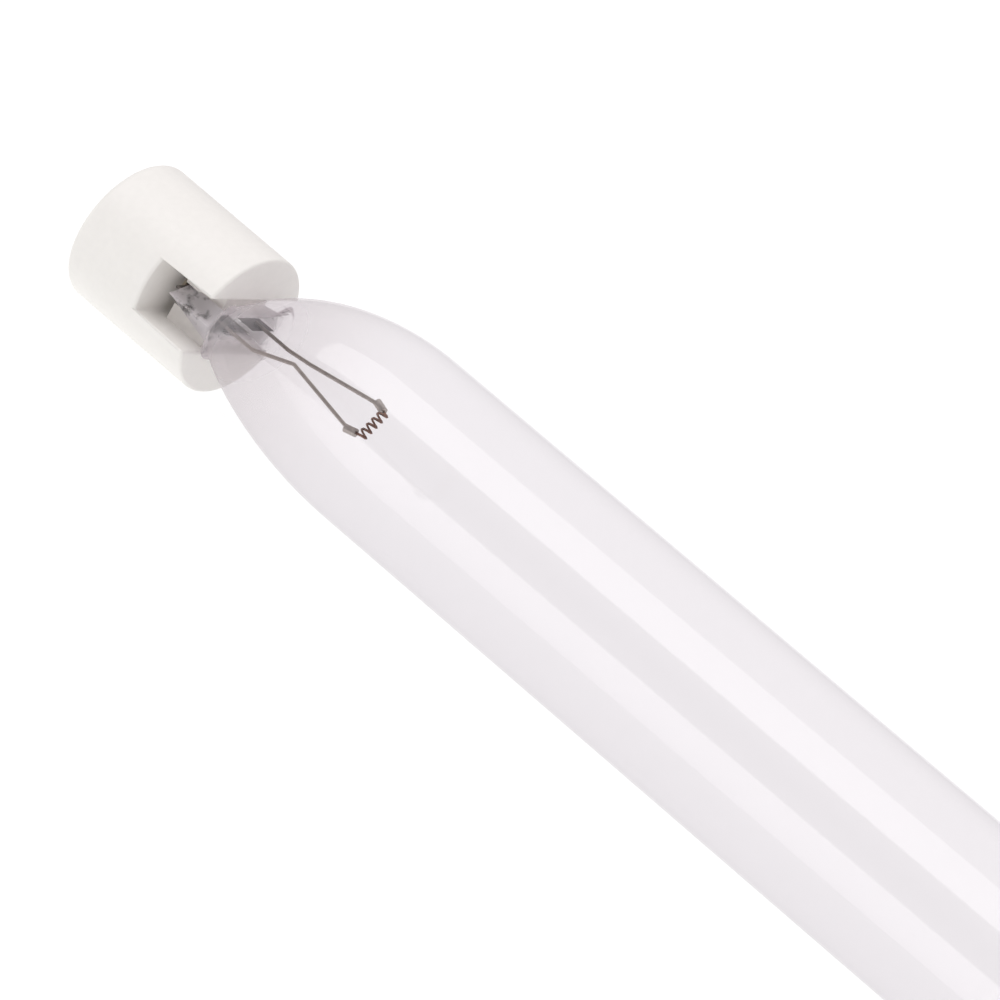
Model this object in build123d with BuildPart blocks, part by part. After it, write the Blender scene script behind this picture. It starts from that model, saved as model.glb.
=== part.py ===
"""Ultraviolet lamp tube of clear quartz, with a press seal and a slotted ceramic cap at each end.

The tube lies on its lowest line, along X, with its press seals flat. End a is at -X and end b at +X.
Lengths are in millimetres.
"""

import os
from math import cos, radians, sin

from build123d import *

os.makedirs("parts", exist_ok=True)

# Quartz tube
overall_length = 287.0
tube_diameter = 19.0
tube_wall = 1.05
seal_offset = 1.15  # the jaws met off the tube's axis, so the seals and caps lie that far below it

# Shoulder, where the tube narrows to the press seal
shoulder_length = 20.0
shoulder_waist = 1.6  # above 1, the shoulder is slimmer beside the neck
shoulder_steps = 7
neck_width = 12.6
neck_thickness = 7.4
neck_glass = 2.2  # solid glass between the seal and the hollow of the tube

# Blade of the press seal, with a thicker rib along both edges
blade_width = 10.6
blade_thickness = 2.4
rib_width = 1.5
rib_thickness = 3.8
blade_root = 0.6  # how far the blade runs into the glass of the neck

# Ceramic cap
cap_diameter = 15.2
cap_length = 16.5
cap_edge = 0.7
cap_chamfer = 0.35
slot_width = 5.8
slot_depth = 6.9
slot_corner = 0.5
blade_gap = 1.2  # from the closed end of the slot to the end of the blade
neck_gap = 0.3  # from the open end of the cap to the neck of the glass

# Contact, a hollow rivet whose button lies in a pocket at the bottom of a recess in the end of the cap
recess_diameter = 6.4
recess_depth = 1.8
recess_chamfer = 0.4
button_diameter = 4.4
button_height = 1.0
button_edge = 0.3
button_drop = 0.2  # from the floor of the recess down to the button
button_clearance = 0.1
shank_diameter = 2.4
shank_clearance = 0.05
rivet_diameter = 3.4
rivet_height = 0.3
rivet_bore = 1.3
rivet_bore_depth = 2.1

# Sealing foils and the lead wires welded to them
foil_width = 3.4
foil_thickness = 0.05
foil_length = 5.6
foil_spacing = 5.9
foil_inset = 0.7  # from the end of the blade to the foil
lead_diameter = 0.4
lead_sides = 8  # flats round the leads and crimps, which keep their facets few
lead_clearance = 0.03
weld_length = 1.2
outer_lead_run = 0.6  # from the end of the blade to the lead's turn towards the middle
outer_lead_spacing = 0.54
outer_lead_insertion = 1.6

# Electrode, a tungsten coil whose tails are crimped into the inner leads
coil_depth = 34.3
coil_turn = -60.0  # degrees from the flat of the seal to the line of the coil
coil_radius = 0.45
coil_pitch = 0.7
coil_turns = 4.5
coil_wire = 0.25
coil_wire_sides = 4  # flats round the fine wire, which keep its facets few
coil_tail = 1.3
crimp_diameter = 0.85
crimp_length = 1.3
crimp_insertion = 0.9
crimp_clearance = 0.02
lead_straight = 1.6  # how far an inner lead runs straight into the hollow
waist_depth = 24.4
waist_spacing = 2.6

# Cement between the blade and the walls of the slot
cement_width = 6.4
cement_recess = 0.8

# Mercury
drop_diameter = 1.6
drop_place = overall_length / 3
drop_clearance = 0.02

# Places along the axis, measured in from the end face of a cap
slot_end = cap_length - slot_depth
blade_end = slot_end + blade_gap
neck_start = cap_length + neck_gap
hollow_start = neck_start + neck_glass
shoulder_end = neck_start + shoulder_length
foil_start = blade_end + foil_inset
foil_end = foil_start + foil_length
button_seat = recess_depth + button_drop + button_height

tube_radius = tube_diameter / 2
lead_seat = lead_diameter / 2 - foil_thickness / 2
seal_height = tube_radius - seal_offset

# End faces of the caps: x runs across the flat of the seal, y through it, and z out of the lamp
end_faces = {
    "a": Plane(origin=(-overall_length / 2, 0, seal_height), x_dir=(0, -1, 0), z_dir=(-1, 0, 0)),
    "b": Plane(origin=(overall_length / 2, 0, seal_height), x_dir=(0, -1, 0), z_dir=(1, 0, 0)),
}


def toward_tube(face, depth, share):
    """Plane at a depth behind an end face, moved by a share of the way from the seal's axis to the tube's."""
    centre = face.offset(-depth).origin + Vector(0, 0, seal_offset) * share
    return Plane(centre, x_dir=face.x_dir, z_dir=face.z_dir)


def shoulder_section(face, step, start, inset):
    """Plane, half width and half thickness of one section of a shoulder, counted from the seal to the tube."""
    turn = radians(90 * step / (shoulder_steps - 1))
    growth = sin(turn) ** shoulder_waist
    half_width = neck_width / 2 + (tube_radius - neck_width / 2) * growth
    half_thickness = neck_thickness / 2 + (tube_radius - neck_thickness / 2) * growth
    section_plane = toward_tube(face, start + (shoulder_end - start) * (1 - cos(turn)), growth)
    return section_plane, half_width - inset, half_thickness - inset


def wire(points):
    """A lead wire along straight runs, with a sharp bend between them."""
    with BuildPart() as drawn_wire:
        with BuildLine() as route:
            Polyline(*points)
        with BuildSketch(Plane(origin=route.line @ 0, z_dir=route.line % 0)):
            RegularPolygon(lead_diameter / 2, lead_sides)
        sweep(transition=Transition.RIGHT)
    return drawn_wire.part


def export(piece, name):
    """Label a finished piece and write it to its own file."""
    piece.label = name
    export_step(piece, f"parts/{name}.step")


# Quartz tube with its two shoulders and press seals
with BuildPart() as quartz_tube:
    with BuildSketch(toward_tube(end_faces["a"], shoulder_end, 1)):
        Circle(tube_radius)
    extrude(amount=-(overall_length - 2 * shoulder_end))
    for face in end_faces.values():
        for step in range(shoulder_steps):
            section_plane, half_width, half_thickness = shoulder_section(face, step, neck_start, 0)
            with BuildSketch(section_plane):
                Ellipse(half_width, half_thickness)
        loft(ruled=True)
        with BuildSketch(face.offset(-blade_end)):
            Rectangle(blade_width, blade_thickness)
            with GridLocations(blade_width - rib_width, 0, 2, 1):
                Rectangle(rib_width, rib_thickness)
        extrude(amount=-(neck_start + blade_root - blade_end))
    with BuildSketch(toward_tube(end_faces["a"], shoulder_end, 1)):
        Circle(tube_radius - tube_wall)
    extrude(amount=-(overall_length - 2 * shoulder_end), mode=Mode.SUBTRACT)
    for face in end_faces.values():
        for step in range(shoulder_steps):
            section_plane, half_width, half_thickness = shoulder_section(face, step, hollow_start, tube_wall)
            with BuildSketch(section_plane):
                Ellipse(half_width, half_thickness)
        loft(ruled=True, mode=Mode.SUBTRACT)
        with BuildSketch(face.offset(-foil_start)):
            with GridLocations(foil_spacing, 0, 2, 1):
                Rectangle(foil_width, foil_thickness)
        extrude(amount=-foil_length, mode=Mode.SUBTRACT)
        for start, end in ((blade_end, foil_start + weld_length), (foil_end - weld_length, hollow_start)):
            with BuildSketch(face.offset(-start)):
                with Locations((-foil_spacing / 2, lead_seat), (foil_spacing / 2, lead_seat)):
                    Circle(lead_diameter / 2 + lead_clearance)
            extrude(amount=-(end - start), mode=Mode.SUBTRACT)
export(quartz_tube.part, "quartz_tube")

for end, face in end_faces.items():
    outward = Axis(face.origin, face.z_dir)

    # Ceramic cap, slotted from its open end across the whole width
    with BuildPart() as end_cap:
        with BuildSketch(face):
            Circle(cap_diameter / 2)
        extrude(amount=-cap_length)
        chamfer(end_cap.faces().sort_by(outward)[-1].edges(), length=cap_edge)
        with BuildSketch(face.offset(-cap_length)):
            Rectangle(cap_diameter, slot_width)
        extrude(amount=slot_depth, mode=Mode.SUBTRACT)
        slot_edges = end_cap.edges().filter_by(Axis(face.origin, face.x_dir))
        fillet(slot_edges.group_by(outward)[-1], radius=slot_corner)
        chamfer(end_cap.faces().group_by(outward)[0].edges(), length=cap_chamfer)
        with BuildSketch(face):
            Circle(recess_diameter / 2)
        extrude(amount=-recess_depth, mode=Mode.SUBTRACT)
        mouth = end_cap.faces().sort_by(outward)[-1].edges().sort_by(SortBy.LENGTH)[0]
        chamfer(mouth, length=recess_chamfer)
        with BuildSketch(face.offset(-recess_depth)):
            Circle(button_diameter / 2 + button_clearance)
        extrude(amount=-(button_seat - recess_depth), mode=Mode.SUBTRACT)
        with BuildSketch(face.offset(-button_seat)):
            Circle(shank_diameter / 2 + shank_clearance)
        extrude(amount=-(slot_end - button_seat), mode=Mode.SUBTRACT)
    export(end_cap.part, f"end_cap_{end}")

    # Contact button with its hollow shank riveted over inside the slot
    with BuildPart() as contact:
        with BuildSketch(face.offset(-button_seat)):
            Circle(button_diameter / 2)
        extrude(amount=button_height)
        chamfer(contact.faces().sort_by(outward)[-1].edges(), length=button_edge)
        with BuildSketch(face.offset(-button_seat)):
            Circle(shank_diameter / 2)
        extrude(amount=-(slot_end - button_seat))
        with BuildSketch(face.offset(-slot_end)):
            Circle(rivet_diameter / 2)
        extrude(amount=-rivet_height)
        with BuildSketch(face.offset(-(slot_end + rivet_height))):
            Circle(rivet_bore / 2)
        extrude(amount=rivet_bore_depth, mode=Mode.SUBTRACT)
    export(contact.part, f"contact_{end}")

    # Electrode coil: its axis lies across the lamp, and both tails point back at the seal
    along_coil = face.x_dir.rotate(Axis((0, 0, 0), face.z_dir), coil_turn)
    coil_height = coil_pitch * coil_turns
    coil_start = toward_tube(face, coil_depth, 1).origin - along_coil * (coil_height / 2)
    coil_frame = Plane(coil_start, x_dir=along_coil.cross(face.z_dir), z_dir=along_coil)
    turns = coil_frame * Helix(coil_pitch, coil_height, coil_radius, mode=Mode.PRIVATE)
    tails = (turns @ 0 - (turns % 0) * coil_tail, turns @ 1 + (turns % 1) * coil_tail)
    with BuildPart() as filament_coil:
        with BuildLine() as coil_route:
            Line(tails[0], turns @ 0)
            add(turns)
            Line(turns @ 1, tails[1])
        with BuildSketch(Plane(origin=coil_route.line @ 0, z_dir=coil_route.line % 0)):
            RegularPolygon(coil_wire / 2, coil_wire_sides)
        sweep()
    export(filament_coil.part, f"filament_coil_{end}")

    for number, side in ((1, 1), (2, -1)):
        across = side * foil_spacing / 2

        # Molybdenum foil, sealed into the blade
        with BuildPart() as foil:
            with BuildSketch(face.offset(-foil_start)):
                with Locations((across, 0)):
                    Rectangle(foil_width, foil_thickness)
            extrude(amount=-foil_length)
        export(foil.part, f"foil_{end}{number}")

        # Outer lead, from the foil to the bore of the contact
        turn_depth = blade_end - outer_lead_run
        inner_end = slot_end + rivet_height - outer_lead_insertion
        route_points = (
            (across, lead_seat, -(foil_start + weld_length)),
            (across, lead_seat, -turn_depth),
            (side * outer_lead_spacing / 2, lead_seat, -turn_depth),
            (side * outer_lead_spacing / 2, lead_seat, -inner_end),
        )
        with BuildPart() as outer_lead:
            add(wire([face.from_local_coords(point) for point in route_points]))
            with BuildSketch(face.offset(-foil_start)):
                with Locations((across, foil_thickness / 2)):
                    Rectangle(foil_width, lead_diameter, align=(Align.CENTER, Align.MAX))
            extrude(amount=-weld_length, mode=Mode.SUBTRACT)
        export(outer_lead.part, f"outer_lead_{end}{number}")

        # Inner lead, from the foil to its crimp on a tail of the coil
        tail_end, tail_root = (tails[1], turns @ 1) if side > 0 else (tails[0], turns @ 0)
        into_crimp = (tail_end - tail_root).normalized()
        crimp_mouth = tail_end - into_crimp * crimp_insertion
        crimp_base = crimp_mouth + into_crimp * crimp_length
        waist = toward_tube(face, waist_depth, 1)
        lead_points = (
            face.from_local_coords((across, lead_seat, -(foil_end - weld_length))),
            face.from_local_coords((across, lead_seat, -(hollow_start + lead_straight))),
            waist.from_local_coords((side * waist_spacing / 2, 0, 0)),
        )
        with BuildPart() as inner_lead:
            add(wire([*lead_points, crimp_base - into_crimp * lead_diameter]))
            with BuildSketch(face.offset(-foil_end)):
                with Locations((across, foil_thickness / 2)):
                    Rectangle(foil_width, lead_diameter, align=(Align.CENTER, Align.MAX))
            extrude(amount=weld_length, mode=Mode.SUBTRACT)
            with BuildSketch(Plane(crimp_mouth, z_dir=into_crimp)):
                RegularPolygon(crimp_diameter / 2, lead_sides)
            extrude(amount=crimp_length)
            with BuildSketch(Plane(crimp_mouth, z_dir=into_crimp)):
                RegularPolygon(coil_wire / 2 + crimp_clearance, lead_sides)
            extrude(amount=crimp_insertion + crimp_clearance, mode=Mode.SUBTRACT)
        export(inner_lead.part, f"inner_lead_{end}{number}")

        # Cement on one side of the blade, between its ribs
        with BuildPart() as cement:
            with BuildSketch(face.offset(-blade_end)):
                with Locations((0, side * blade_thickness / 2)):
                    thickness = (slot_width - blade_thickness) / 2
                    side_align = Align.MIN if side > 0 else Align.MAX
                    Rectangle(cement_width, thickness, align=(Align.CENTER, side_align))
            extrude(amount=-(cap_length - cement_recess - blade_end))
        export(cement.part, f"cement_{end}{number}")

# Drop of mercury, lying loose on the lowest line of the bore
with BuildPart() as mercury_drop:
    with Locations((drop_place, 0, tube_wall + drop_clearance + drop_diameter / 2)):
        Sphere(drop_diameter / 2)
export(mercury_drop.part, "mercury_drop")
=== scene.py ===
"""Ultraviolet lamp tube: clear quartz with a press seal and a slotted ceramic cap at each end.

The lamp lies along X on a white table. End a, at -X, is the end that the photograph shows.
"""

from math import asin, atan2, cos, pi, radians, sin

import bmesh
import bpy
from bpy.props import FloatProperty, FloatVectorProperty, IntProperty, PointerProperty
from bpy.types import Operator, Panel, PropertyGroup
from mathutils import Matrix, Vector


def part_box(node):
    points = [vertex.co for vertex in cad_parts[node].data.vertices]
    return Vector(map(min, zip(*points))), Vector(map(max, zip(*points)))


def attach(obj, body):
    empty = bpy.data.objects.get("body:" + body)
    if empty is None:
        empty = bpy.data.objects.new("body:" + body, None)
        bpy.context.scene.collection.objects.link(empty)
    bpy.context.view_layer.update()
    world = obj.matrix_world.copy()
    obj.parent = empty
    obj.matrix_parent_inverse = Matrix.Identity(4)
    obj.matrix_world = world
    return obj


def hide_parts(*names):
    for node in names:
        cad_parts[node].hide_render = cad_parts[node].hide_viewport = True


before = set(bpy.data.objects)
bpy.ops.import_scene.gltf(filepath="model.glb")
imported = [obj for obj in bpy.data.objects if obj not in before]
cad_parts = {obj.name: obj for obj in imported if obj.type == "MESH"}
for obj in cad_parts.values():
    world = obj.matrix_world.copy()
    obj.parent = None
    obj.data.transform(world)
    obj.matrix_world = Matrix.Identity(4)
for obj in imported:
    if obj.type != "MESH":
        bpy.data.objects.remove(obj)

bl_info = {
    "name": "Ultraviolet Lamp Tube",
    "version": (1, 0, 0),
    "blender": (4, 5, 0),
    "location": "View3D > Sidebar > Lamp",
    "description": "Builds the glass, caps and inner parts of a quartz lamp tube on a white table",
    "category": "Object",
}

ENDS = {"a": -1, "b": 1}  # which way each end points along X
MM = 0.001  # a millimetre in metres
WELD_DISTANCE = 0.001 * MM  # points this near to each other are one point
ON_PLANE = 0.01 * MM  # a point this near to a plane lies in it

# Shape of the glass
ELLIPSE = 2.0  # exponent of a round ring's outline, and above it the ring is squarer
BLADE_OUTLINE = 8.0  # exponent of the blade's outline
RIB_START = 0.62  # share of the blade's half width where a rib begins to rise
RIB_RISE = 0.16  # share of the half width over which it rises
NECK_STEPS = 8  # rings from the neck to the blade
BORE_ROUNDING = 1.2 * MM  # rounding of the closed ends of the hollow
BLADE_ROUNDING = 0.5 * MM  # rounding of the blade's end

# Stage
TABLE_REACH = 4  # metres from the table's middle to its edges
SENSOR_WIDTH = 36  # millimetres

# Sockets of a Mix node, which share their names between numbers and colours
NUMBER_A, NUMBER_B = 2, 3
COLOUR_A, COLOUR_B, COLOUR_RESULT = 6, 7, 2


def length(name, description, millimetres):
    """A length setting, given in millimetres and kept in metres."""
    return FloatProperty(
        name=name,
        description=description,
        default=millimetres * MM,
        min=0.0,
        precision=5,
        subtype="DISTANCE",
        unit="LENGTH",
    )


class QuartzSettings(PropertyGroup):
    """Sizes of the glass that the frame's boxes don't give."""

    wall: length("Wall", "Thickness of the tube's wall", 1.05)
    neck_gap: length("Neck Gap", "From the open end of the cap to the glass of the neck", 0.3)
    neck_glass: length("Neck Glass", "Solid glass between the seal and the hollow of the tube", 2.2)
    neck_width: length("Neck Width", "Width of the neck across the flat of the seal", 12.6)
    neck_thickness: length("Neck Thickness", "Thickness of the neck through the flat of the seal", 7.4)
    neck_round: length("Neck Rounding", "Length over which the neck rounds into the blade", 1.1)
    shoulder_length: length("Shoulder Length", "From the neck to the straight tube", 20.0)
    blade_width: length("Blade Width", "Width of the blade of the press seal", 10.6)
    blade_thickness: length("Blade Thickness", "Thickness of the blade between its ribs", 2.4)
    rib_thickness: length("Rib Thickness", "Thickness of the ribs along the edges of the blade", 3.8)
    waist: FloatProperty(
        name="Shoulder Waist",
        description="Above 1, the shoulder is slimmer beside the neck",
        default=1.6,
        min=1.0,
    )
    segments: IntProperty(
        name="Segments",
        description="Segments round the glass",
        default=128,
        min=32,
    )
    steps: IntProperty(
        name="Steps",
        description="Rings along each shoulder",
        default=28,
        min=8,
    )


class CapSettings(PropertyGroup):
    """Sizes of the ceramic caps that the frame's boxes don't give."""

    slot_width: length("Slot Width", "Width of the slot", 5.8)
    slot_depth: length("Slot Depth", "Depth of the slot from the open end", 6.9)
    recess_diameter: length("Recess Diameter", "Diameter of the recess in the end face", 6.4)
    recess_depth: length("Recess Depth", "Depth of the recess", 1.8)
    pocket_diameter: length("Pocket Diameter", "Diameter of the pocket for the contact's button", 4.6)
    pocket_depth: length("Pocket Depth", "Depth of the pocket below the recess", 1.2)
    rim: length("Rim Rounding", "Rounding of the edge of the end face", 0.8)
    edge: length("Edge Rounding", "Rounding of the other edges", 0.35)
    segments: IntProperty(
        name="Segments",
        description="Segments round the cap",
        default=96,
        min=24,
    )


class StageSettings(PropertyGroup):
    """Camera, light and table."""

    azimuth: FloatProperty(
        name="Azimuth",
        description="Direction of the camera round the lamp",
        default=radians(29.23),
        subtype="ANGLE",
        unit="ROTATION",
    )
    elevation: FloatProperty(
        name="Elevation",
        description="Height of the camera above the horizon",
        default=radians(18.98),
        subtype="ANGLE",
        unit="ROTATION",
    )
    roll: FloatProperty(
        name="Roll",
        description="Turn of the camera about its line of sight, against the clock",
        default=radians(30.1),
        subtype="ANGLE",
        unit="ROTATION",
    )
    distance: length("Distance", "From the camera to the point it looks at", 908.0)
    lens: FloatProperty(
        name="Lens",
        description="Focal length of the camera's lens in millimetres",
        default=353.0,
        min=10.0,
        unit="CAMERA",
    )
    aim: FloatVectorProperty(
        name="Aim",
        description="Point that the camera looks at",
        default=(-93.9 * MM, 0.87 * MM, 11.69 * MM),
        subtype="XYZ",
        unit="LENGTH",
    )
    table_glow: FloatProperty(
        name="Table Glow",
        description="Own light of the white table as the camera sees it, which keeps shadows faint",
        default=0.85,
        min=0.0,
    )
    table_shine: FloatProperty(
        name="Table Shine",
        description="Own light of the white table as it shows in reflections",
        default=0.95,
        min=0.0,
    )
    table_bounce: FloatProperty(
        name="Table Bounce",
        description="Own light of the white table as it falls on the lamp",
        default=0.8,
        min=0.0,
    )
    softbox_power: FloatProperty(
        name="Softbox Power",
        description="Power of the softbox over the lamp",
        default=5.2,
        min=0.0,
        unit="POWER",
    )
    softbox_angle: FloatProperty(
        name="Softbox Angle",
        description="Lean of the softbox from straight above the lamp towards the camera",
        default=radians(26),
        subtype="ANGLE",
        unit="ROTATION",
    )
    softbox_distance: length("Softbox Distance", "From the softbox to the lamp's line", 1250.0)
    softbox_place: length("Softbox Place", "From the lamp's middle to the softbox, towards end a", 600.0)
    softbox_length: length("Softbox Length", "Size of the softbox along the lamp", 1600.0)
    softbox_width: length("Softbox Width", "Size of the softbox across the lamp", 850.0)


def end_frame(end):
    """Frame of one end: x lies across the flat of the seal, and z points out of its end face."""
    low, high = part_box(f"end_cap_{end}")
    outward = Vector((ENDS[end], 0, 0))
    across = Vector((0, -1, 0))
    turn = Matrix((across, outward.cross(across), outward)).transposed().to_4x4()
    place = (low + high) / 2
    place.x = low.x if ENDS[end] < 0 else high.x
    return Matrix.Translation(place) @ turn


def to_tube_axis(end):
    """The way from the axis of the seals and caps to the axis of the tube, in an end's frame."""
    low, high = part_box("quartz_tube")
    way = (low + high) / 2 - end_frame(end).translation
    way.x = 0
    return end_frame(end).to_3x3().inverted() @ way


def finish_piece(name, bm, *nodes, slot, materials):
    """Turn a bmesh into a smooth piece that stands for CAD nodes and rides on the lamp."""
    mesh = bpy.data.meshes.new(name)
    bm.to_mesh(mesh)
    bm.free()
    for material in materials:
        mesh.materials.append(material)
    piece = bpy.data.objects.new(name, mesh)
    bpy.context.scene.collection.objects.link(piece)
    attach(piece, "root")
    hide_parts(*nodes)
    return piece


def only(kind, geometry):
    """The vertices, edges or faces among the geometry that an operator made."""
    return [item for item in geometry if isinstance(item, kind)]


def pull_faces(bm, faces, way):
    """Extrude faces by a way, without leaving the faces they started from inside the solid."""
    made = bmesh.ops.extrude_face_region(bm, geom=faces)["geom"]
    bmesh.ops.delete(bm, geom=faces, context="FACES_ONLY")
    bmesh.ops.translate(bm, vec=way, verts=only(bmesh.types.BMVert, made))
    return only(bmesh.types.BMFace, made)


def round_edges(bm, edges, radius, segments=4):
    """Round edges off."""
    bmesh.ops.bevel(
        bm, geom=edges, offset=radius, segments=segments, profile=0.5, affect="EDGES", material=-1
    )


def ease(share):
    """A share from 0 to 1 that starts and ends gently."""
    return share * share * (3 - 2 * share)


def shade_by_angle(bm, angle):
    """Shade all faces smooth, and keep edges above an angle sharp."""
    for face in bm.faces:
        face.smooth = True
    for edge in bm.edges:
        edge.smooth = len(edge.link_faces) == 2 and edge.calc_face_angle() < angle


def new_material(name):
    """An empty node material and its output node."""
    material = bpy.data.materials.new(name)
    material.use_nodes = True
    material.node_tree.nodes.clear()
    return material, material.node_tree.nodes.new("ShaderNodeOutputMaterial")


def colour_between(material, factor, first, second):
    """A colour socket that goes from a first to a second colour with a factor."""
    mix = material.node_tree.nodes.new("ShaderNodeMix")
    mix.data_type = "RGBA"
    mix.inputs[COLOUR_A].default_value = (*first, 1)
    mix.inputs[COLOUR_B].default_value = (*second, 1)
    material.node_tree.links.new(factor, mix.inputs[0])
    return mix.outputs[COLOUR_RESULT]


def solid_material(name, colour, roughness, metallic=0.0, grain=0.0, grain_scale=1500.0, spread=0.06):
    """A material whose colour and surface vary a little with a fine grain."""
    material, output = new_material(name)
    nodes, links = material.node_tree.nodes, material.node_tree.links
    shader = nodes.new("ShaderNodeBsdfPrincipled")
    shader.inputs["Metallic"].default_value = metallic
    shader.inputs["Roughness"].default_value = roughness
    place = nodes.new("ShaderNodeTexCoord")
    noise = nodes.new("ShaderNodeTexNoise")
    noise.inputs["Scale"].default_value = grain_scale
    noise.inputs["Detail"].default_value = 4
    darker = [part * (1 - spread) for part in colour]
    lighter = [min(1, part * (1 + spread)) for part in colour]
    shades = colour_between(material, noise.outputs["Fac"], darker, lighter)
    bump = nodes.new("ShaderNodeBump")
    bump.inputs["Strength"].default_value = grain
    bump.inputs["Distance"].default_value = 0.05 * MM
    links.new(place.outputs["Object"], noise.inputs["Vector"])
    links.new(shades, shader.inputs["Base Color"])
    links.new(noise.outputs["Fac"], bump.inputs["Height"])
    links.new(bump.outputs["Normal"], shader.inputs["Normal"])
    links.new(shader.outputs["BSDF"], output.inputs["Surface"])
    return material


def bore_material():
    """The skin of the hollow, which adds nothing to the look of the thin glass round it."""
    material, output = new_material("quartz_bore")
    clear = material.node_tree.nodes.new("ShaderNodeBsdfTransparent")
    material.node_tree.links.new(clear.outputs["BSDF"], output.inputs["Surface"])
    return material


def quartz_material(pressed_from, shoulder_length):
    """Quartz: thin and clear in the tube, misty and darkened by painted shade in the shoulders, and
    cloudy in the pressed seals.

    The seals begin at a distance from the lamp's middle, and the shoulders a length before it.
    """
    material, output = new_material("quartz")
    nodes, links = material.node_tree.nodes, material.node_tree.links

    def calculate(operation, *values):
        """The result of a math node on sockets and numbers."""
        node = nodes.new("ShaderNodeMath")
        node.operation = operation
        for socket, value in zip(node.inputs, values):
            if isinstance(value, bpy.types.NodeSocket):
                links.new(value, socket)
            else:
                socket.default_value = value
        return node.outputs[0]

    def ramp(value, start, end):
        """A smooth rise from 0 to 1."""
        node = nodes.new("ShaderNodeMapRange")
        node.interpolation_type = "SMOOTHSTEP"
        node.inputs["From Min"].default_value = start
        node.inputs["From Max"].default_value = end
        links.new(value, node.inputs["Value"])
        return node.outputs["Result"]

    def blend(factor, first, second):
        """A mix of two shaders."""
        node = nodes.new("ShaderNodeMixShader")
        links.new(factor, node.inputs[0])
        links.new(first, node.inputs[1])
        links.new(second, node.inputs[2])
        return node.outputs[0]

    place = nodes.new("ShaderNodeTexCoord")
    split = nodes.new("ShaderNodeSeparateXYZ")
    links.new(place.outputs["Object"], split.inputs["Vector"])
    reach = calculate("ABSOLUTE", split.outputs["X"])
    pressed = ramp(reach, pressed_from - 0.5 * MM, pressed_from + 0.5 * MM)
    # Share of the shoulder, which drives the painted shade in the glass's tint and the mist
    shoulder_shade_and_mist = ramp(reach, pressed_from - shoulder_length, pressed_from)
    noise = nodes.new("ShaderNodeTexNoise")
    noise.inputs["Scale"].default_value = 900
    noise.inputs["Detail"].default_value = 3
    links.new(place.outputs["Object"], noise.inputs["Vector"])
    bump = nodes.new("ShaderNodeBump")
    bump.inputs["Strength"].default_value = 0.5
    bump.inputs["Distance"].default_value = 0.25 * MM
    links.new(noise.outputs["Fac"], bump.inputs["Height"])

    clear = nodes.new("ShaderNodeBsdfTransparent")
    # Painted shade: the tint darkens over the shoulders, in place of the shade that thick, curved glass
    # shows there
    tint_and_shoulder_shade = colour_between(material, shoulder_shade_and_mist, (0.918, 0.902, 0.915), (0.89, 0.865, 0.875))
    links.new(tint_and_shoulder_shade, clear.inputs["Color"])
    shine = nodes.new("ShaderNodeBsdfGlossy")
    shine.inputs["Roughness"].default_value = 0.06
    slant = nodes.new("ShaderNodeLayerWeight")
    slant.inputs["Blend"].default_value = 0.5
    gloss = calculate("MULTIPLY_ADD", calculate("POWER", slant.outputs["Facing"], 5), 0.35, 0.07)
    thin = blend(gloss, clear.outputs["BSDF"], shine.outputs["BSDF"])

    thick = nodes.new("ShaderNodeBsdfPrincipled")
    thick.inputs["Base Color"].default_value = (0.985, 0.975, 0.985, 1)
    thick.inputs["Roughness"].default_value = 0.05
    thick.inputs["IOR"].default_value = 1.458
    thick.inputs["Transmission Weight"].default_value = 1
    links.new(bump.outputs["Normal"], thick.inputs["Normal"])
    through = nodes.new("ShaderNodeBsdfTranslucent")
    through.inputs["Color"].default_value = (0.4, 0.385, 0.395, 1)
    back = nodes.new("ShaderNodeBsdfDiffuse")
    back.inputs["Color"].default_value = (0.45, 0.43, 0.44, 1)
    haze = nodes.new("ShaderNodeAddShader")
    links.new(through.outputs["BSDF"], haze.inputs[0])
    links.new(back.outputs["BSDF"], haze.inputs[1])
    cloudy = blend(ramp(noise.outputs["Fac"], 0.2, 0.5), thick.outputs["BSDF"], haze.outputs["Shader"])
    mist = calculate("MULTIPLY", calculate("POWER", shoulder_shade_and_mist, 4), 0.3)
    misted = blend(mist, thin, haze.outputs["Shader"])
    links.new(blend(pressed, misted, cloudy), output.inputs["Surface"])
    return material


def ring_point(place, angle, half_width, half_thickness, outline=ELLIPSE, rib=1.0):
    """Point of a ring at an angle: the outline is its exponent, and the rib thickens its two ends."""
    across = abs(cos(angle) / half_width) ** outline
    through = abs(sin(angle) / half_thickness) ** outline
    radius = (across + through) ** (-1 / outline)
    x, y = radius * cos(angle), radius * sin(angle)
    share = min(1, max(0, (abs(x) / half_width - RIB_START) / RIB_RISE))
    return place @ Vector((x, y * (1 + (rib - 1) * ease(share)), 0))


def add_ring(bm, edges, end, depth, share, *shape):
    """Extrude a ring of edges to a depth behind the end face, and return the new ring.

    The share is how far the ring's centre lies on the way from the seal's axis to the tube's,
    and the shape is what ring_point takes.
    """
    local = end_frame(end)
    made = bmesh.ops.extrude_edge_only(bm, edges=edges)["geom"]
    verts = only(bmesh.types.BMVert, made)
    centre = sum((vert.co for vert in verts), Vector()) / len(verts)
    place = local @ Matrix.Translation(to_tube_axis(end) * share + Vector((0, 0, -depth)))
    turn = local.to_3x3().inverted()
    for vert in verts:
        point = turn @ (vert.co - centre)
        vert.co = ring_point(place, atan2(point.y, point.x), *shape)
    return [edge for edge in only(bmesh.types.BMEdge, made) if edge.is_boundary]


def close_ring(bm, edges, end, depth, rounding, shares, half_width, half_thickness, *outline):
    """Round the glass off from a depth, in rings at shares of the rounding, and close it."""
    for share in shares:
        drop = rounding * (1 - (1 - share**2) ** 0.5)
        shape = half_width - drop, half_thickness - drop, *outline
        edges = add_ring(bm, edges, end, depth - rounding * share, 0, *shape)
    bmesh.ops.contextual_create(bm, geom=edges)


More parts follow.
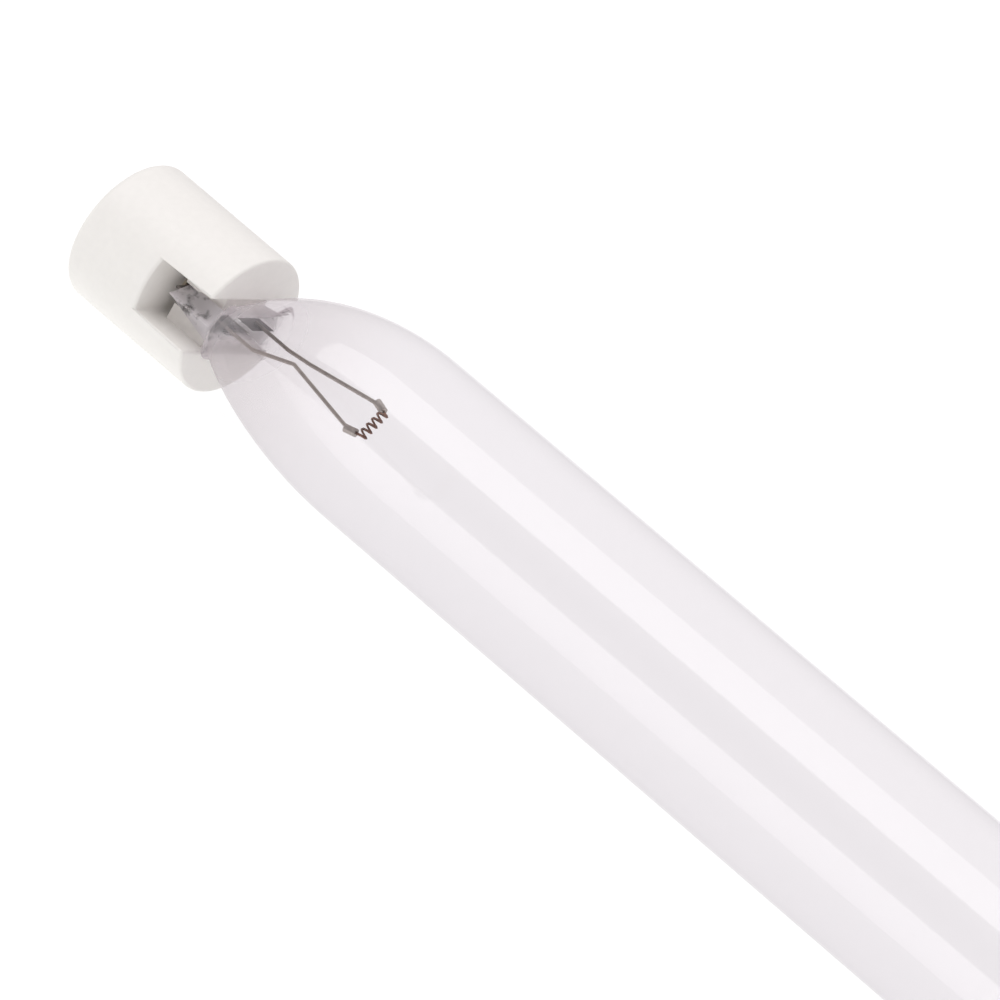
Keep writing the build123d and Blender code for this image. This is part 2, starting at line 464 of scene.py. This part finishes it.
def shoulder_rings(settings, radius, start, reach, inset):
    """Depths and shapes of the rings of a shoulder, from the straight tube to the neck."""
    neck_width = settings.neck_width / 2
    neck_thickness = settings.neck_thickness / 2
    for step in range(settings.steps, -1, -1):
        turn = pi / 2 * step / settings.steps
        growth = sin(turn) ** settings.waist
        half_width = neck_width + (radius - neck_width) * growth - inset
        half_thickness = neck_thickness + (radius - neck_thickness) * growth - inset
        yield start + reach * (1 - cos(turn)), growth, half_width, half_thickness


class LAMP_OT_quartz(Operator):
    """Build the glass: a straight tube, and at each end a shoulder, a neck and a ribbed blade"""

    bl_idname = "lamp.quartz"
    bl_label = "Build Quartz Tube"

    def skin(self, bm, end, settings, inner):
        """One half of the outer skin of the glass, or of its hollow, from the middle of the lamp."""
        low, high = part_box("quartz_tube")
        cap_low, cap_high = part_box(f"end_cap_{end}")
        radius = (high.z - low.z) / 2
        inset = settings.wall if inner else 0
        half_length = abs(end_frame(end).translation.x)
        aside = to_tube_axis(end)
        neck = cap_high.x - cap_low.x + settings.neck_gap
        shoulder_end = neck + settings.shoulder_length
        start = neck + (settings.neck_glass if inner else settings.neck_round)
        middle = end_frame(end) @ Matrix.Translation((aside.x, aside.y, -half_length))
        made = bmesh.ops.create_circle(
            bm, cap_ends=False, segments=settings.segments, radius=radius - inset, matrix=middle
        )
        ring = list(dict.fromkeys(edge for vert in made["verts"] for edge in vert.link_edges))
        for depth, share, half_width, half_thickness in shoulder_rings(
            settings, radius, start, shoulder_end - start, inset
        ):
            ring = add_ring(bm, ring, end, depth, share, half_width, half_thickness)
        if inner:
            shares = (0.3, 0.6, 0.85, 0.97)
            close_ring(bm, ring, end, start, BORE_ROUNDING, shares, half_width, half_thickness)
            return
        blade_width = settings.blade_width / 2
        blade_thickness = settings.blade_thickness / 2
        rib = settings.rib_thickness / settings.blade_thickness
        for step in range(1, NECK_STEPS + 1):
            share = step / NECK_STEPS
            ring = add_ring(
                bm,
                ring,
                end,
                start - settings.neck_round * share,
                0,
                half_width + (blade_width - half_width) * ease(share),
                half_thickness + (blade_thickness - half_thickness) * ease(share),
                ELLIPSE + (BLADE_OUTLINE - ELLIPSE) * ease(share),
                1 + (rib - 1) * ease(share),
            )
        close_ring(
            bm,
            ring,
            end,
            half_length - high.x + BLADE_ROUNDING,
            BLADE_ROUNDING,
            (0, 0.4, 0.75, 0.97),
            blade_width,
            blade_thickness,
            BLADE_OUTLINE,
            rib,
        )

    def execute(self, context):
        settings = context.scene.lamp_quartz
        bm = bmesh.new()
        for end in ENDS:
            self.skin(bm, end, settings, inner=False)
        bmesh.ops.remove_doubles(bm, verts=bm.verts, dist=WELD_DISTANCE)
        bmesh.ops.recalc_face_normals(bm, faces=bm.faces)
        outer = set(bm.faces)
        for end in ENDS:
            self.skin(bm, end, settings, inner=True)
        verts = dict.fromkeys(vert for face in bm.faces if face not in outer for vert in face.verts)
        bmesh.ops.remove_doubles(bm, verts=list(verts), dist=WELD_DISTANCE)
        hollow = [face for face in bm.faces if face not in outer]
        bmesh.ops.recalc_face_normals(bm, faces=hollow)
        bmesh.ops.reverse_faces(bm, faces=hollow)
        for face in hollow:
            face.material_index = 1
        shade_by_angle(bm, radians(50))
        cap_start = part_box("end_cap_b")[0].x
        quartz = quartz_material(cap_start - settings.neck_gap, settings.shoulder_length)
        materials = [quartz, bore_material()]
        finish_piece("quartz_glass", bm, "quartz_tube", slot="quartz", materials=materials)
        return {"FINISHED"}


class LAMP_OT_caps(Operator):
    """Build the two ceramic caps, each slotted from its open end and recessed in its end face"""

    bl_idname = "lamp.caps"
    bl_label = "Build End Caps"

    def barrel(self, bm, local, radius, slot_end, settings):
        """The closed part of a cap down to the slot's end, and the two legs beside the slot."""
        back = local.inverted()
        outward = local.to_3x3().col[2]
        slot_turn = 2 * asin(settings.slot_width / 2 / radius)
        corner = Vector((radius * cos(slot_turn / 2), radius * sin(slot_turn / 2), -slot_end))
        corners = bmesh.ops.create_vert(bm, co=local @ corner)["vert"]
        for turn in (pi - slot_turn, slot_turn, pi - slot_turn, slot_turn):
            made = bmesh.ops.spin(
                bm,
                geom=[corners[-1]],
                cent=local @ Vector((0, 0, -slot_end)),
                axis=outward,
                angle=turn,
                steps=round(settings.segments * turn / (2 * pi)),
            )["geom_last"]
            corners += only(bmesh.types.BMVert, made)
        bmesh.ops.pointmerge(bm, verts=[corners[0], corners.pop()], merge_co=local @ corner)
        bmesh.ops.contextual_create(bm, geom=bm.edges[:])
        for pair in (corners[:2], corners[2:]):
            bmesh.ops.connect_verts(bm, verts=pair)
        made = bmesh.ops.extrude_face_region(bm, geom=bm.faces[:], use_keep_orig=True)["geom"]
        bmesh.ops.translate(bm, vec=outward * slot_end, verts=only(bmesh.types.BMVert, made))
        legs = []
        for face in bm.faces:
            centre = back @ face.calc_center_median()
            if abs(centre.z + slot_end) < ON_PLANE and abs(centre.y) > settings.slot_width / 2:
                legs.append(face)
        pull_faces(bm, legs, -outward * settings.slot_depth)
        bmesh.ops.dissolve_limit(bm, angle_limit=radians(0.5), verts=bm.verts, edges=bm.edges)
        bmesh.ops.recalc_face_normals(bm, faces=bm.faces)
        bm.normal_update()

    def cap(self, end, settings):
        """One cap as a bmesh."""
        low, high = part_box(f"end_cap_{end}")
        radius = (high.z - low.z) / 2
        local = end_frame(end)
        back = local.inverted()
        outward = local.to_3x3().col[2]

        def in_end_face(*points):
            """True if all the points lie in the plane of the end face."""
            return all(abs((back @ point).z) < ON_PLANE for point in points)

        bm = bmesh.new()
        self.barrel(bm, local, radius, high.x - low.x - settings.slot_depth, settings)
        end_face = next(face for face in bm.faces if in_end_face(face.calc_center_median()))
        rim = list(end_face.edges)
        corners = [edge for edge in bm.edges if edge.calc_face_angle(0) > radians(30)]
        round_edges(bm, [edge for edge in corners if edge not in rim], settings.edge)
        bmesh.ops.remove_doubles(bm, verts=bm.verts, dist=settings.edge / 5)
        rim = [edge for edge in bm.edges if in_end_face(*(vert.co for vert in edge.verts))]
        round_edges(bm, rim, settings.rim, segments=8)
        end_face = max(
            (face for face in bm.faces if in_end_face(face.calc_center_median())),
            key=lambda face: face.calc_area(),
        )
        steps = (
            (radius - settings.rim - settings.recess_diameter / 2, settings.recess_depth),
            ((settings.recess_diameter - settings.pocket_diameter) / 2, settings.pocket_depth),
        )
        for inset, drop in steps:
            bmesh.ops.inset_individual(bm, faces=[end_face], thickness=inset, use_even_offset=True)
            end_face = pull_faces(bm, [end_face], -outward * drop)[0]
        flat = [edge for edge in bm.edges if in_end_face(*(vert.co for vert in edge.verts))]
        mouth = [edge for edge in flat if edge.calc_face_angle(0) > radians(60)]
        round_edges(bm, mouth, settings.edge)
        shade_by_angle(bm, radians(35))
        return bm

    def execute(self, context):
        ceramic = solid_material("ceramic", (0.93, 0.91, 0.875), 0.45, grain=0.35, spread=0.03)
        for end in ENDS:
            cap = finish_piece(
                f"ceramic_cap_{end}",
                self.cap(end, context.scene.lamp_caps),
                f"end_cap_{end}",
                slot="ceramic",
                materials=[ceramic],
            )
            cap.modifiers.new("flat_faces", "WEIGHTED_NORMAL").keep_sharp = True
        return {"FINISHED"}


class LAMP_OT_inner_parts(Operator):
    """Give the metal parts, the cement and the mercury of the frame their materials"""

    bl_idname = "lamp.inner_parts"
    bl_label = "Finish Inner Parts"

    def finish(self, node, slot, material):
        """Give a CAD node its material, and shade it smooth between its edges."""
        node.data.materials.clear()
        node.data.materials.append(material)
        for face in node.data.polygons:
            face.use_smooth = True
        node.modifiers.new("weld", "WELD").merge_threshold = WELD_DISTANCE
        node.modifiers.new("split", "EDGE_SPLIT").split_angle = radians(35)

    def execute(self, context):
        foil = solid_material("molybdenum_foil", (0.16, 0.14, 0.15), 0.4, 1.0, grain=0.6, spread=0.3)
        outer_lead = solid_material("outer_lead_wire", (0.3, 0.27, 0.26), 0.4, 1.0)
        inner_lead = solid_material("inner_lead_wire", (0.4, 0.36, 0.33), 0.4, 1.0, spread=0.3)
        tungsten = solid_material("tungsten", (0.22, 0.12, 0.09), 0.45, 1.0, spread=0.3)
        contact = solid_material("contact_metal", (0.78, 0.72, 0.6), 0.3, 1.0, grain=0.1)
        cement = solid_material(
            "cement", (0.86, 0.83, 0.8), 0.8, grain=1.0, grain_scale=900, spread=0.1
        )
        mercury = solid_material("mercury", (0.8, 0.8, 0.82), 0.06, 1.0, spread=0.03)
        finishes = (
            ("foil", "molybdenum_foil", foil),
            ("outer_lead", "lead_wire", outer_lead),
            ("inner_lead", "lead_wire", inner_lead),
            ("filament_coil", "tungsten", tungsten),
            ("contact", "contact_metal", contact),
            ("cement", "cement", cement),
            ("mercury", "mercury", mercury),
        )
        for name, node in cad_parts.items():
            for kind, slot, material in finishes:
                if name.startswith(kind):
                    self.finish(node, slot, material)
        return {"FINISHED"}


class LAMP_OT_stage(Operator):
    """Set up the white table and surrounding, the softbox and the camera"""

    bl_idname = "lamp.stage"
    bl_label = "Build Stage"

    def seen_through(self, nodes, links, path):
        """A socket that is 1 for what the camera sees, also through thick glass, and 0 for light."""
        either = nodes.new("ShaderNodeMath")
        either.operation = "MAXIMUM"
        links.new(path.outputs["Is Camera Ray"], either.inputs[0])
        links.new(path.outputs["Is Transmission Ray"], either.inputs[1])
        return either.outputs[0]

    def table(self, settings):
        """A white table with faint shadows."""
        bm = bmesh.new()
        bmesh.ops.create_grid(bm, x_segments=1, y_segments=1, size=TABLE_REACH)
        mesh = bpy.data.meshes.new("table")
        bm.to_mesh(mesh)
        bm.free()
        material, output = new_material("table")
        nodes, links = material.node_tree.nodes, material.node_tree.links
        white = nodes.new("ShaderNodeBsdfDiffuse")
        white.inputs["Color"].default_value = (0.25, 0.25, 0.25, 1)
        glow = nodes.new("ShaderNodeEmission")
        path = nodes.new("ShaderNodeLightPath")
        unseen = nodes.new("ShaderNodeMix")
        unseen.inputs[NUMBER_A].default_value = settings.table_bounce
        unseen.inputs[NUMBER_B].default_value = settings.table_shine
        strength = nodes.new("ShaderNodeMix")
        strength.inputs[NUMBER_B].default_value = settings.table_glow
        links.new(path.outputs["Is Glossy Ray"], unseen.inputs[0])
        links.new(self.seen_through(nodes, links, path), strength.inputs[0])
        links.new(unseen.outputs[0], strength.inputs[NUMBER_A])
        links.new(strength.outputs[0], glow.inputs["Strength"])
        both = nodes.new("ShaderNodeAddShader")
        links.new(white.outputs["BSDF"], both.inputs[0])
        links.new(glow.outputs["Emission"], both.inputs[1])
        links.new(both.outputs["Shader"], output.inputs["Surface"])
        mesh.materials.append(material)
        table = bpy.data.objects.new("table", mesh)
        bpy.context.scene.collection.objects.link(table)

    def world(self):
        """A surrounding that the camera sees white, and that lights the lamp more from above."""
        world = bpy.data.worlds.new("surrounding")
        bpy.context.scene.world = world
        world.use_nodes = True
        nodes, links = world.node_tree.nodes, world.node_tree.links
        nodes.clear()
        output = nodes.new("ShaderNodeOutputWorld")
        seen = nodes.new("ShaderNodeBackground")
        seen.inputs["Strength"].default_value = 1
        around = nodes.new("ShaderNodeBackground")
        around.inputs["Color"].default_value = (0.85, 0.83, 0.84, 1)
        place = nodes.new("ShaderNodeTexCoord")
        split = nodes.new("ShaderNodeSeparateXYZ")
        rise = nodes.new("ShaderNodeMapRange")
        rise.interpolation_type = "SMOOTHSTEP"
        rise.inputs["From Min"].default_value = 0.25
        rise.inputs["From Max"].default_value = 0.8
        rise.inputs["To Min"].default_value = 0.48
        rise.inputs["To Max"].default_value = 1.07
        links.new(place.outputs["Generated"], split.inputs["Vector"])
        links.new(split.outputs["Z"], rise.inputs["Value"])
        links.new(rise.outputs["Result"], around.inputs["Strength"])
        path = nodes.new("ShaderNodeLightPath")
        mix = nodes.new("ShaderNodeMixShader")
        links.new(self.seen_through(nodes, links, path), mix.inputs[0])
        links.new(around.outputs["Background"], mix.inputs[1])
        links.new(seen.outputs["Background"], mix.inputs[2])
        links.new(mix.outputs["Shader"], output.inputs["Surface"])

    def softbox(self, settings):
        """A softbox along the lamp, which shines square to it from above the camera's side."""
        data = bpy.data.lights.new("softbox", "AREA")
        data.shape = "RECTANGLE"
        data.size = settings.softbox_length
        data.size_y = settings.softbox_width
        data.energy = settings.softbox_power
        softbox = bpy.data.objects.new("softbox", data)
        bpy.context.scene.collection.objects.link(softbox)
        away = Vector((0, -sin(settings.softbox_angle), cos(settings.softbox_angle)))
        place = away * settings.softbox_distance - Vector((settings.softbox_place, 0, 0))
        turn = (-away).to_track_quat("-Z", "Y").to_matrix()
        softbox.matrix_world = Matrix.Translation(place) @ turn.to_4x4()

    def camera(self, settings):
        """The camera, which looks at its aim."""
        azimuth, elevation = settings.azimuth, settings.elevation
        back = Vector((sin(azimuth) * cos(elevation), -cos(azimuth) * cos(elevation), sin(elevation)))
        data = bpy.data.cameras.new("camera")
        data.lens = settings.lens
        data.sensor_width = SENSOR_WIDTH
        data.clip_end = 20
        camera = bpy.data.objects.new("camera", data)
        bpy.context.scene.collection.objects.link(camera)
        place = Vector(settings.aim) + back * settings.distance
        turn = (-back).to_track_quat("-Z", "Y").to_matrix() @ Matrix.Rotation(settings.roll, 3, "Z")
        camera.matrix_world = Matrix.Translation(place) @ turn.to_4x4()
        bpy.context.scene.camera = camera

    def execute(self, context):
        settings = context.scene.lamp_stage
        self.table(settings)
        self.world()
        self.softbox(settings)
        self.camera(settings)
        context.scene.view_settings.view_transform = "Standard"
        return {"FINISHED"}


class LAMP_PT_panel(Panel):
    """The lamp's steps in the sidebar of the 3D view"""

    bl_idname = "LAMP_PT_panel"
    bl_label = "Lamp Tube"
    bl_space_type = "VIEW_3D"
    bl_region_type = "UI"
    bl_category = "Lamp"

    def draw(self, context):
        layout = self.layout
        steps = (
            ("lamp.quartz", context.scene.lamp_quartz),
            ("lamp.caps", context.scene.lamp_caps),
            ("lamp.inner_parts", None),
            ("lamp.stage", context.scene.lamp_stage),
        )
        for operator, settings in steps:
            box = layout.box()
            box.operator(operator)
            if settings is not None:
                for name in settings.__annotations__:
                    box.prop(settings, name)


CLASSES = (
    QuartzSettings,
    CapSettings,
    StageSettings,
    LAMP_OT_quartz,
    LAMP_OT_caps,
    LAMP_OT_inner_parts,
    LAMP_OT_stage,
    LAMP_PT_panel,
)


def register():
    """Register the classes and hang the settings on the scene."""
    for cls in CLASSES:
        bpy.utils.register_class(cls)
    bpy.types.Scene.lamp_quartz = PointerProperty(type=QuartzSettings)
    bpy.types.Scene.lamp_caps = PointerProperty(type=CapSettings)
    bpy.types.Scene.lamp_stage = PointerProperty(type=StageSettings)


def unregister():
    """Take the settings and the classes away again."""
    del bpy.types.Scene.lamp_stage
    del bpy.types.Scene.lamp_caps
    del bpy.types.Scene.lamp_quartz
    for cls in reversed(CLASSES):
        bpy.utils.unregister_class(cls)


def main():
    """Build the lamp and its stage."""
    register()
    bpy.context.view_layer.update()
    bpy.ops.lamp.quartz()
    bpy.ops.lamp.caps()
    bpy.ops.lamp.inner_parts()
    bpy.ops.lamp.stage()


if __name__ == "__main__":
    main()
